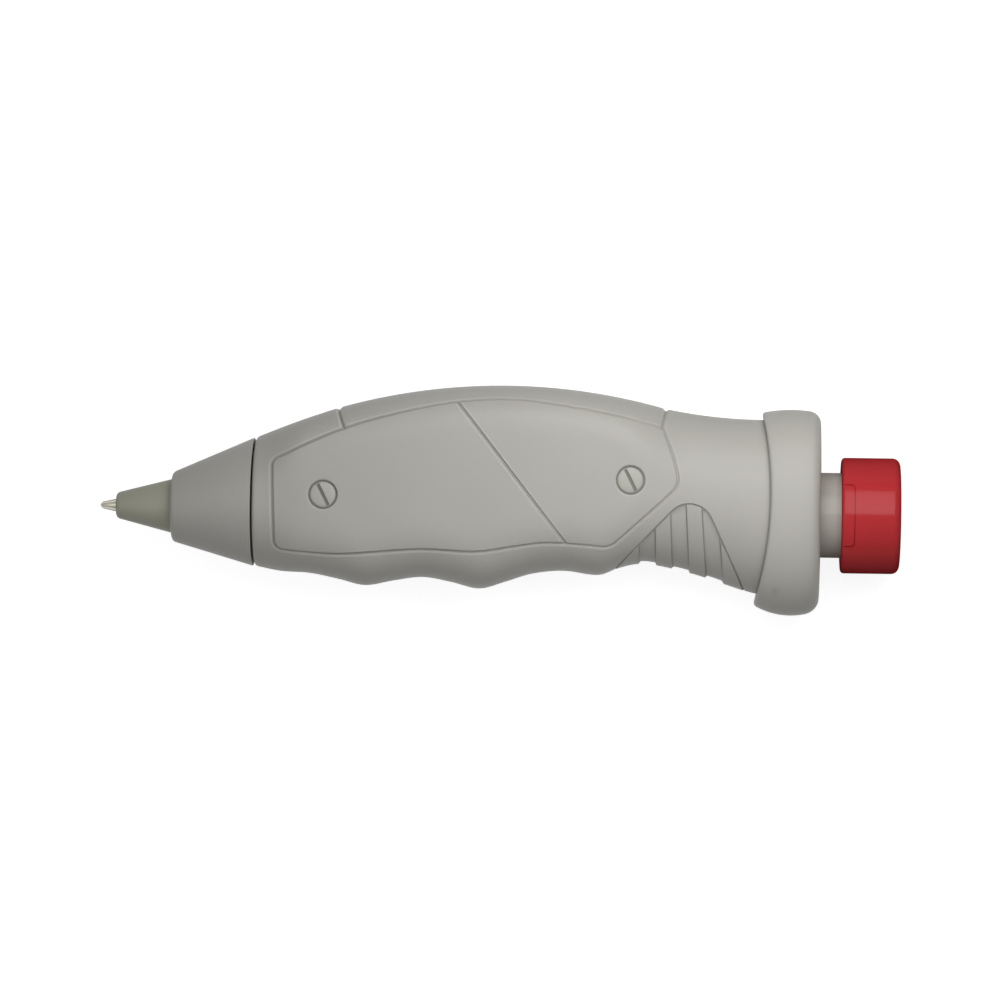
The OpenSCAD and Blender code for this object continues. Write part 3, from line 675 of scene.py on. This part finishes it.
# painted shade in the grooves, along the insert's line and at the rib steps
painted_shade = rear_fade * (1 - ease((to_groove - groove_flat) / (groove_half - groove_flat)))
painted_shade = np.maximum(painted_shade, np.clip(1.2 - to_line / line_shade, 0, 1))
painted_shade = np.maximum(painted_shade, np.where(of_insert, np.clip(1.1 - to_rib / rib_shade, 0, 1), 0))
# painted shadow in a band in front of the collar's edge
painted_shade = np.maximum(painted_shade, 1.3 * fade(distance(skin_xs, [collar_line]), collar_shade))
# painted highlight on the grooves' shoulders and round the screw bores
painted_sheen = rear_fade * fade(np.abs(to_groove - sheen_place), sheen_half)
by_panel = inside(panel_edge, skin_xs) & (distance(skin_xs, [split_line]) > to_groove + 0.01)
painted_sheen = np.maximum(np.where(by_panel, panel_sheen, 1) * painted_sheen, 0.6 * fade(to_bore, lip_sheen))
seam_shade_and_sheen = painted_shade - np.where(painted_shade > 0.5, 0, painted_sheen)


def new_piece(name, points, faces):
    """Makes a piece from places in millimetres from the refill's axis."""
    mesh = bpy.data.meshes.new(name)
    mesh.from_pydata(((points + [0, 0, axis_z / MM]) * MM).tolist(), [], faces)
    piece = bpy.data.objects.new(name, mesh)
    bpy.context.collection.objects.link(piece)
    pick(piece)
    return piece


def paint_shade_and_marks(piece, painted_light_and_marks):
    """Gives each point of a piece its painted shade or mark, or below zero its painted highlight."""
    piece.data.attributes.new("seam", "FLOAT", "POINT").data.foreach_set("value", painted_light_and_marks)


def moulding(name, mine, both_sides=False, more=None):
    """Makes a piece of the grip from its triangles of the skin, and gives it its thickness inwards. A saddle has
    both sides. More adds rings to the open front edge, as (x, radius, share of the way from the edge to a circle)."""
    used, faces = np.unique(triangles[mine], return_inverse=True)
    faces = faces.reshape(-1, 3).tolist()
    points, painted_light_and_marks = skin_points[used], seam_shade_and_sheen[used]
    if both_sides:
        faces += [[i + len(points) for i in reversed(f)] for f in faces]
        points, painted_light_and_marks = np.vstack([points, points * [1, 1, -1]]), np.r_[painted_light_and_marks, painted_light_and_marks]
    if more is not None:
        rim = np.flatnonzero(skin_xs[used, 0] < grip_front + 1e-4)
        rim = rim[np.argsort(skin_xs[used][rim, 1])]
        for x, r, share in more:
            turn = np.arctan2(points[rim, 2], points[rim, 1])
            circle = np.column_stack([np.full(len(rim), x), r * np.cos(turn), np.maximum(0, r * np.sin(turn))])
            ring = points[rim] * [0, 1 - share, 1 - share] + circle * [1, share, share]
            ring[[0, -1], 2] = 0
            new = np.arange(len(rim)) + len(points)
            faces += [[rim[i + 1], rim[i], new[i], new[i + 1]] for i in range(len(rim) - 1)]
            points, painted_light_and_marks = np.vstack([points, ring]), np.r_[painted_light_and_marks, 0 * new]
            rim = new
    piece = new_piece(name, points, faces)
    paint_shade_and_marks(piece, painted_light_and_marks.astype(np.float32))
    close_up(fill=False)
    bpy.ops.object.modifier_add(type="SOLIDIFY")
    wall = piece.modifiers[-1]
    wall.thickness = skin * MM
    wall.offset = -1
    bpy.ops.object.modifier_apply(modifier=wall.name)
    if not both_sides:
        for vertex in piece.data.vertices:
            vertex.co.z = max(vertex.co.z, axis_z)
    return piece


def mirrored(piece, name):
    """A copy of a left piece, turned over for the right side."""
    pick(piece)
    bpy.ops.object.duplicate()
    copy = bpy.context.object
    copy.name = name
    bpy.ops.object.mode_set(mode="EDIT")
    bpy.ops.mesh.select_all(action="SELECT")
    bpy.ops.transform.resize(value=(1, 1, -1), center_override=(0, 0, axis_z))
    bpy.ops.mesh.flip_normals()
    bpy.ops.object.mode_set(mode="OBJECT")
    return copy


grip_plastic = satin_plastic("grip satin", tone(179, 177, 170), seamed=True)
spigot_rings = [(grip_front, spigot_r, 0.5), (grip_front, spigot_r, 1), (spigot_front + 0.4, spigot_r, 1),
                (spigot_front, spigot_r - 0.35, 1)]
shell_area = on_skin & ~in_panel & ~in_spine & ~in_insert
left_shell = moulding("grip_shell_left", shell_area, more=spigot_rings)
right_shell = mirrored(left_shell, "grip_shell_right")
fit(left_shell, "left_shell", grip_plastic)
fit(right_shell, "right_shell", grip_plastic)

# Spine cover
# A saddle of the same plastic along the back, let in flush over the joint of the two shells and clipped between
# the panels. It ends in two slanting notches.
spine_cover = moulding("spine_saddle", on_skin & in_spine, both_sides=True)
fit(spine_cover, "spine_cover", grip_plastic)

# Side panels
# Two panels on each side, parted by a slanting seam and let in flush with the shells. Each is held by one screw in
# a shallow round counterbore whose floor is darkened with painted shade.
ring_deep, floor_thick, floor_lap, bore_floor_shade = 0.42, 0.9, 0.06, 1.7


def stand_on_side(piece, where):
    """Moves what was made at the origin to a place on the left side, square to the face there."""
    x, y = where
    pick(piece)
    piece.rotation_euler = (0, -math.atan((side_z(x + 0.1) - side_z(x - 0.1)) / 0.2), 0)
    piece.location = (x * MM, y * MM, axis_z + side_z(x) * MM)
    bpy.ops.object.transform_apply()


def add_floor(piece, where):
    """Adds the floor of the counterbore under a screw's head."""
    bpy.ops.mesh.primitive_cylinder_add(vertices=48, radius=(bore_r + floor_lap) * MM, depth=floor_thick * MM,
                                        location=(0, 0, -(ring_deep + floor_thick / 2) * MM))
    bottom = bpy.context.object
    bpy.ops.object.transform_apply()
    stand_on_side(bottom, where)
    # painted shade: the counterbore's floor is darkened all over
    paint_shade_and_marks(bottom, [bore_floor_shade] * len(bottom.data.vertices))
    piece.select_set(True)
    bpy.context.view_layer.objects.active = piece
    bpy.ops.object.join()


panel_area = on_skin & in_panel & ~in_bore
for part, mine, where in (("front", ~behind, screw_places[0]), ("rear", behind, screw_places[1])):
    left_panel = moulding(f"side_panel_left_{part}", panel_area & mine)
    add_floor(left_panel, where)
    right_panel = mirrored(left_panel, f"side_panel_right_{part}")
    fit(left_panel, f"left_{part}_panel", grip_plastic)
    fit(right_panel, f"right_{part}_panel", grip_plastic)

# Panel screws
# Slotted plastic screws with domed heads, turned in until their crowns lie just under the panel's face. The slots
# stop short of the rim, have floors darkened with painted shade and happen to stand at the same slant.
head_r, head_deep, head_sunk, head_edge = 2.36, 0.6, 0.33, 0.05
dome_steps = [(0.1, 0.06), (0.3, 0.08), (0.6, 0.08), (0.7, 0.03)]
slot_wide, slot_deep, slot_angle = 0.62, 0.5, math.radians(-62.8)
slot_end, slot_shade = 0.1, 2.2


def cut(piece, tool, operation="DIFFERENCE"):
    """Takes a tool's shape out of a piece, or leaves only what both share. The tool is used up."""
    bpy.context.view_layer.objects.active = piece
    bpy.ops.object.modifier_add(type="BOOLEAN")
    piece.modifiers[-1].object = tool
    piece.modifiers[-1].operation = operation
    bpy.ops.object.modifier_apply(modifier=piece.modifiers[-1].name)
    bpy.data.objects.remove(tool)


screw_plastic = satin_plastic("screw satin", tone(182, 181, 172), seamed=True)
heads = []
for where in screw_places:
    bpy.ops.mesh.primitive_cylinder_add(vertices=64, radius=head_r * MM, depth=head_deep * MM,
                                        location=(0, 0, -(head_sunk + head_deep / 2) * MM))
    head = bpy.context.object
    bpy.ops.object.transform_apply()
    bpy.ops.object.mode_set(mode="EDIT")
    bpy.ops.mesh.select_mode(type="FACE")
    bpy.ops.mesh.select_all(action="DESELECT")
    net = bmesh.from_edit_mesh(head.data)
    for face in net.faces:
        face.select_set(face.normal.z > 0.9)
    bmesh.update_edit_mesh(head.data)
    for step, rise in dome_steps:
        bpy.ops.mesh.inset(thickness=step * MM, depth=rise * MM)
    bpy.ops.object.mode_set(mode="OBJECT")
    bpy.ops.mesh.primitive_cube_add(size=1, rotation=(0, 0, slot_angle),
                                    scale=(2 * (head_r - slot_end) * MM, slot_wide * MM, 2 * slot_deep * MM))
    blade = bpy.context.object
    bpy.ops.object.transform_apply()
    cut(head, blade)
    # painted shade on the slot's floor
    paint_shade_and_marks(head, [slot_shade * (abs(v.co.z + slot_deep * MM) < 0.01 * MM) for v in head.data.vertices])
    stand_on_side(head, where)
    heads.append(head)
bpy.ops.object.select_all(action="DESELECT")
for head in heads:
    head.select_set(True)
bpy.context.view_layer.objects.active = heads[0]
bpy.ops.object.join()
left_screws = bpy.context.object
left_screws.name = "screw_heads_left"
bpy.ops.object.modifier_add(type="BEVEL")
edge_round = left_screws.modifiers[-1]
edge_round.width = head_edge * MM
edge_round.segments = 2
edge_round.limit_method = "ANGLE"
edge_round.angle_limit = math.radians(50)
bpy.ops.object.modifier_apply(modifier=edge_round.name)
right_screws = mirrored(left_screws, "screw_heads_right")
fit(left_screws, "left_panel_screws", screw_plastic)
fit(right_screws, "right_panel_screws", screw_plastic)

# Ribbed insert
# A saddle of the same plastic under the rear of the grip, with raised ribs across it for the little finger. It is
# let into both shells under a rounded arch.
ribbed_insert = moulding("ribbed_saddle", on_skin & in_insert, both_sides=True)
fit(ribbed_insert, "ribbed_insert", grip_plastic)

# End collar
# A thick oval ring of satin grey plastic with a crowned rim and a faint mark where the mould was filled. It is
# pushed over the rear of the two shells, holds them together, and guides the button's stem.
collar_x, collar_rear, collar_top, collar_low = 55.2, 60.6, 19.92, -19.12
collar_r, collar_low_r, collar_power, collar_sides = 27.0, 13.5, 2 / 2.3, 160
collar_edge, collar_lip, collar_thick, collar_half = 1.8, 0.55, 3.2, 19.5
stem_hole_r, hole_round, hole_front = 8.12, 0.3, 57.0
gate_x, gate_y, gate_r, gate_dark = 52.3, -14.4, 1.1, 0.6


def collar_ring(share, take_in):
    """One ring of the collar, from its curved front edge at share 0 to its rear face at share 1. Its heights start
    from a guess, because where the front edge lies depends on them."""
    turn = np.linspace(0, math.tau, collar_sides, endpoint=False)
    up, out = np.cos(turn), np.sin(turn)
    up, out = np.sign(up) * np.abs(up) ** collar_power, np.sign(out) * np.abs(out) ** collar_power
    y = collar_half * up
    for _ in range(3):
        front = collar_front - arc_drop(collar_front_r, y - collar_front_y)
        x = front + share * (collar_rear - front)
        top = collar_top - arc_drop(collar_r, x - collar_x) - take_in
        low = collar_low + arc_drop(collar_low_r, x - collar_x) + take_in
        y = (top + low) / 2 + (top - low) / 2 * up
    return np.column_stack([x, y, (half_width - arc_drop(collar_r, x - collar_x) - take_in) * out])


def round_ring(x, r):
    turn = np.linspace(0, math.tau, collar_sides, endpoint=False)
    return np.column_stack([np.full(collar_sides, x), r * np.cos(turn), r * np.sin(turn)])


def lofted(name, rings):
    """Joins rings of places, in millimetres from the refill's axis, into one closed piece."""
    count = len(rings[0])
    faces = [[a * count + i, a * count + (i + 1) % count, b * count + (i + 1) % count, b * count + i]
             for a, b in zip(range(len(rings)), [*range(1, len(rings)), 0]) for i in range(count)]
    piece = new_piece(name, np.vstack(rings), faces)
    close_up(fill=False)
    return piece


deep_ring, deep_rear = collar_ring(0.03, collar_thick), collar_ring(0.6, collar_thick)
front_rim = [collar_ring(0.012 + 0.055 * (1 - math.cos(a)), collar_lip * (1 - math.sin(a)))
             for a in np.linspace(0, math.pi / 2, 5)]
rear_share = collar_edge / (collar_rear - collar_front)
crown = [collar_ring(share, 0) for share in np.linspace(0.1, 0.98 - rear_share, 20)]
rear_rim = [collar_ring(1 - rear_share * (1 - math.sin(a)), collar_edge * (1 - math.cos(a)))
            for a in np.linspace(0, math.pi / 2, 9)]
hole = [round_ring(collar_rear, stem_hole_r + hole_round), round_ring(collar_rear - hole_round, stem_hole_r),
        round_ring(hole_front, stem_hole_r)]
rear_face = [rear_rim[-1] * [1, 1 - t, 1 - t] + hole[0] * [0, t, t] for t in (0.15, 0.5, 0.85)]
end_collar = lofted("end_collar_ring", [deep_ring, *front_rim, *crown, *rear_rim, *rear_face, *hole, deep_rear])
gate_mark = []
for vertex in end_collar.data.vertices:
    gap = math.dist((vertex.co.x / MM, vertex.co.y / MM), (gate_x, gate_y))
    gate_mark.append(gate_dark * float(1 - ease(gap / gate_r)) * (vertex.co.z > axis_z))
paint_shade_and_marks(end_collar, gate_mark)
fit(end_collar, "end_collar", satin_plastic("collar satin", tone(178, 176, 169), seamed=True))

# Click mechanism
# White acetal: a sleeve with four grooves that is fixed in the shells, a toothed cam that turns an eighth at each
# click, and a plunger under the button that presses on the cam's teeth.


def acetal(name, colour):
    """Slippery engineering plastic, faintly mottled, with mould marks."""
    material, wire = new_finish(name)
    place = wire.node("ShaderNodeTexCoord", output=3)
    mottle = wire.noise(place, 220.0, 3.0)
    shade = wire.tint(mottle, scaled(colour, 0.93), colour)
    bump = wire.node("ShaderNodeBump", None, {"Strength": 0.1, "Distance": 0.02 * MM, "Height": mottle})
    coat(wire, base_color=shade, roughness=0.3 + 0.12 * mottle, normal=bump)
    return material


mechanism = acetal("white acetal", tone(231, 231, 228))
for node in ("cam_sleeve", "rotary_cam", "thrust_plunger"):
    dress(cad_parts[node], mechanism)

# Button stem
# A glossy grey tube that slides in the collar. A flange inside stops it, and the red button is pressed on its end.
flange_front, flange_rear, stem_rear = 49.3, 51.3, 70.2
stem_r, stem_bore_r, flange_r, flange_hole_r = 8.05, 6.4, 9.6, 3.0


def gloss_plastic(name, colour):
    """Polished plastic with faint smears and the finest moulding waves. Its clear skin mirrors the lamp, and less
    where it turns away."""
    material, wire = new_finish(name)
    place = wire.node("ShaderNodeTexCoord", output=3)
    smear = wire.noise(place, 140.0, 3.0)
    waves = wire.noise(place, 420.0, 1.0)
    shade = wire.tint(smear, scaled(colour, 0.95), scaled(colour, 1.04))
    bump = wire.node("ShaderNodeBump", None, {"Strength": 0.06, "Distance": 0.02 * MM, "Height": waves})
    facing = 1.0 - wire.node("ShaderNodeLayerWeight", None, {"Blend": 0.5}, 1)
    coat(wire, base_color=shade, roughness=0.3 + 0.1 * smear, specular_ior_level=0.0, normal=bump,
         coat_weight=0.42 * facing * facing * facing, coat_roughness=0.14)
    return material


stem_outline = [(flange_front, flange_hole_r), (flange_front, flange_r), (flange_rear, flange_r), (flange_rear, stem_r),
                (stem_rear, stem_r), (stem_rear, stem_bore_r), (flange_rear, stem_bore_r),
                (flange_rear, flange_hole_r), (flange_front, flange_hole_r)]
button_stem = turned("button_stem_tube", stem_outline, sides=128)
stem_gloss = gloss_plastic("stem gloss", tone(173, 170, 163))
fit(button_stem, "button_stem", stem_gloss, "button", degrees=35)

# Push button
# A thick red button moulded in glossy plastic with rounded rims. Two snap tabs, outlined by fine slots at its
# front rim, hold it on the stem.
button_front, hollow_end, button_rear = 64.6, 73.8, 75.75
button_r, end_face_in = 10.97, 1.9
tab_long, tab_half, tab_corner, tab_slot, tab_past = 2.4, 5.8, 0.7, 0.2, 0.4
slot_sunk, cutter_front, cutter_rear = 0.3, 60, 70
button_outline = [(hollow_end, stem_bore_r), (stem_rear, stem_bore_r), (stem_rear, stem_r), (button_front, stem_r),
                  (button_front, button_r), (button_front + tab_long + tab_past, button_r), (button_rear, button_r),
                  (button_rear, button_r - end_face_in)]


def tab_block(grow):
    """A tall block through the button's front rim, with the plan of its snap tabs."""
    size = (2 * (tab_long + grow) * MM, 2 * (tab_half + grow) * MM, 4 * button_r * MM)
    bpy.ops.mesh.primitive_cube_add(size=1, location=(button_front * MM, 0, axis_z), scale=size)
    block = bpy.context.object
    bpy.ops.object.transform_apply()
    bpy.ops.object.modifier_add(type="BEVEL")
    block.modifiers[-1].width = (tab_corner + grow) * MM
    block.modifiers[-1].segments = 5
    bpy.ops.object.modifier_apply(modifier=block.modifiers[-1].name)
    return block


push_button = turned("push_button_cap", button_outline, sides=128)
round_rim(push_button, button_rear, button_r, size=1.5, segments=8)
round_rim(push_button, button_front, button_r, size=0.7, segments=6)
slot_r, past_r = button_r - slot_sunk, button_r + 1
cutter_outline = [(cutter_front, slot_r), (cutter_front, past_r), (cutter_rear, past_r), (cutter_rear, slot_r),
                  (cutter_front, slot_r)]
slots = tab_block(tab_slot / 2)
cut(slots, tab_block(-tab_slot / 2))
cut(slots, turned("slot_depth", cutter_outline, sides=128), "INTERSECT")
cut(push_button, slots)
button_gloss = gloss_plastic("button gloss", tone(182, 47, 51))
fit(push_button, "push_button", button_gloss, "button", degrees=35)

# Floor, light and camera
# The pen lies on its right side on a plain white floor, with a low white wall far around it. A soft lamp hangs close
# over the rear of its spine and a weak one off the writing end. The camera looks down from a metre away.
floor_size, floor_drop, wall_r, wall_tall = 8, 0.05, 3.9, 1.2
floor_bounce, room_light = 0.12, 0.35
camera_far, camera_lean, camera_turn = 1090.5, math.radians(1.74), math.radians(0.8247)


def white_paint(name, grey, glow):
    """White to the eye and in mirrors, and a dark grey for the light that it throws back on the pen. Its grey share
    takes the shadow."""
    material, wire = new_finish(name)
    path = wire.node("ShaderNodeLightPath")
    seen = path
    for ray in ("Is Glossy Ray", "Is Transmission Ray"):
        seen = seen.maths("MAXIMUM", seen, Wire(path.tree, path.socket.node.outputs[ray]))
    lit = wire.node("ShaderNodeBsdfDiffuse", None, {"Color": (floor_bounce, floor_bounce, floor_bounce, 1)})
    shaded = wire.node("ShaderNodeBsdfDiffuse", None, {"Color": (grey, grey, grey, 1)})
    bright = wire.node("ShaderNodeEmission", None, {"Color": (1, 1, 1, 1), "Strength": glow})
    white = wire.node("ShaderNodeAddShader", None, {0: shaded, 1: bright})
    shown = wire.node("ShaderNodeMixShader", None, {0: seen, 1: lit, 2: white})
    wire.node("ShaderNodeOutputMaterial", None, {"Surface": shown})
    return material


bpy.ops.mesh.primitive_plane_add(size=floor_size, location=(0, 0, -floor_drop * MM))
floor = bpy.context.object
floor.name = "floor"
dress(floor, white_paint("white_floor", grey=0.45, glow=0.85))
bpy.ops.mesh.primitive_cylinder_add(vertices=96, radius=wall_r, depth=wall_tall, end_fill_type="NOTHING",
                                    location=(0, 0, wall_tall / 2))
backdrop = bpy.context.object
backdrop.name = "backdrop"
dress(backdrop, white_paint("white_backdrop", grey=0.02, glow=0.99))

world = bpy.data.worlds.new("room")
world.use_nodes = True
sky = world.node_tree.nodes["Background"]
sky.inputs["Color"].default_value = (1, 1, 1, 1)
sky.inputs["Strength"].default_value = room_light
bpy.context.scene.world = world


def soft_lamp(name, place, target, size, watts):
    lamp = bpy.data.lights.new(name, "AREA")
    lamp.shape = "RECTANGLE"
    lamp.size, lamp.size_y = size
    lamp.energy = watts
    holder = bpy.data.objects.new(name, lamp)
    holder.location = place
    holder.rotation_euler = (Vector(target) - Vector(place)).to_track_quat("-Z", "Y").to_euler()
    holder.visible_camera = False
    bpy.context.collection.objects.link(holder)


soft_lamp("near_lamp", (0.06, 0.06, 0.135), (0.06, 0.0, 0.013), size=(0.13, 0.115), watts=0.135)
soft_lamp("left_lamp", (-0.15, 0.02, 0.25), (-0.03, 0.0, 0.013), size=(0.2, 0.2), watts=0.082)

camera = bpy.data.cameras.new("camera")
camera.lens, camera.sensor_width = 206.6, 36
view = bpy.data.objects.new("camera", camera)
view.rotation_euler = (0, camera_lean, camera_turn)
aim, back = Vector((-0.06 * MM, 2.02 * MM, axis_z)), Vector((0, 0, camera_far * MM))
view.location = aim + view.rotation_euler.to_matrix() @ back
bpy.context.collection.objects.link(view)
bpy.context.scene.camera = view
bpy.context.scene.view_settings.view_transform = "Standard"
